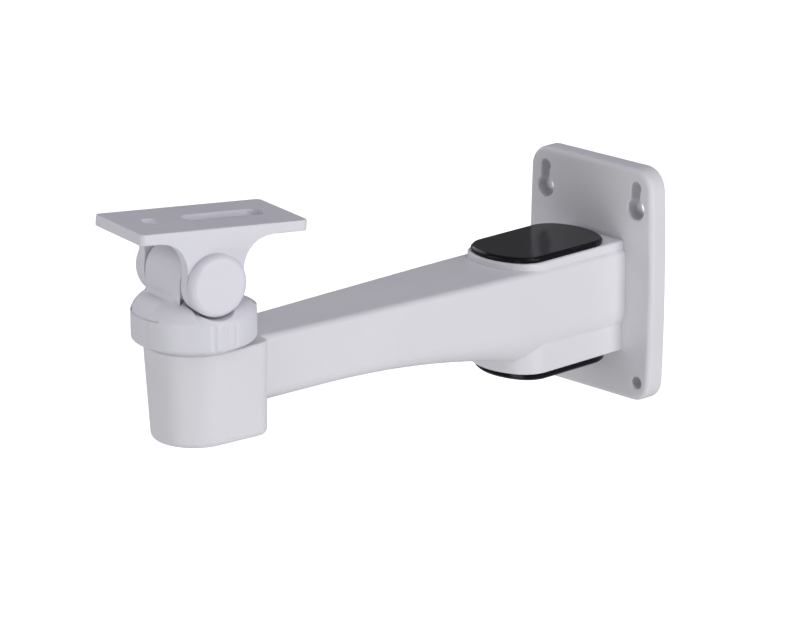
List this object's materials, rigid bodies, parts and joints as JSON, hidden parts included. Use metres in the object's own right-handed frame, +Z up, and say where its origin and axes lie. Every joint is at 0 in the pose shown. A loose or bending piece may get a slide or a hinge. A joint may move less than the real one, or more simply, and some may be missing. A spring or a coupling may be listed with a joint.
{
  "type": "surveillance camera wall bracket",
  "caption": "Wall bracket with a hollow tapered arm that ends in a swivel head and a slotted tilting platform for a small camera.",
  "frame": {"origin": "the middle of the wall plate's back face, on the wall's surface", "axes": "+Y points into the wall, so the arm reaches out along -Y; +Z is up; +X runs along the wall"},
  "size_m": [0.0638, 0.237, 0.1068],
  "materials": {
    "white_powder_coat": "satin powder coat on a die casting",
    "head_grey_coat": "satin coat",
    "cap_plastic": "satin moulded plastic",
    "black_plastic": "semi-gloss moulded plastic",
    "washer_polymer": "matt",
    "zinc_steel": "zinc plated"
  },
  "bodies": {
    "wall_arm": {"arm_casting": "white_powder_coat", "top_cover": "black_plastic", "bottom_cover": "black_plastic", "pan_friction_ring": "washer_polymer"},
    "head": {"swivel_head": "head_grey_coat", "pan_bolt": "zinc_steel", "pan_washer": "zinc_steel", "tilt_friction_washers": "washer_polymer"},
    "platform": {"camera_platform": "head_grey_coat", "tilt_bolt": "zinc_steel", "tilt_nut": "zinc_steel", "near_pivot_cap": "cap_plastic", "far_pivot_cap": "cap_plastic"}
  },
  "joints": [
    {"name": "pan", "type": "hinge", "parent": "wall_arm", "child": "head", "pos_m": [0, -0.2052, 0.0173], "axis": [0, 0, 1], "continuous": true},
    {"name": "tilt", "type": "hinge", "parent": "head", "child": "platform", "pos_m": [-0.00019, -0.20618, 0.0402], "axis": [0.9816, -0.1908, 0], "range_deg": [-46.2, 53.8]}
  ]
}
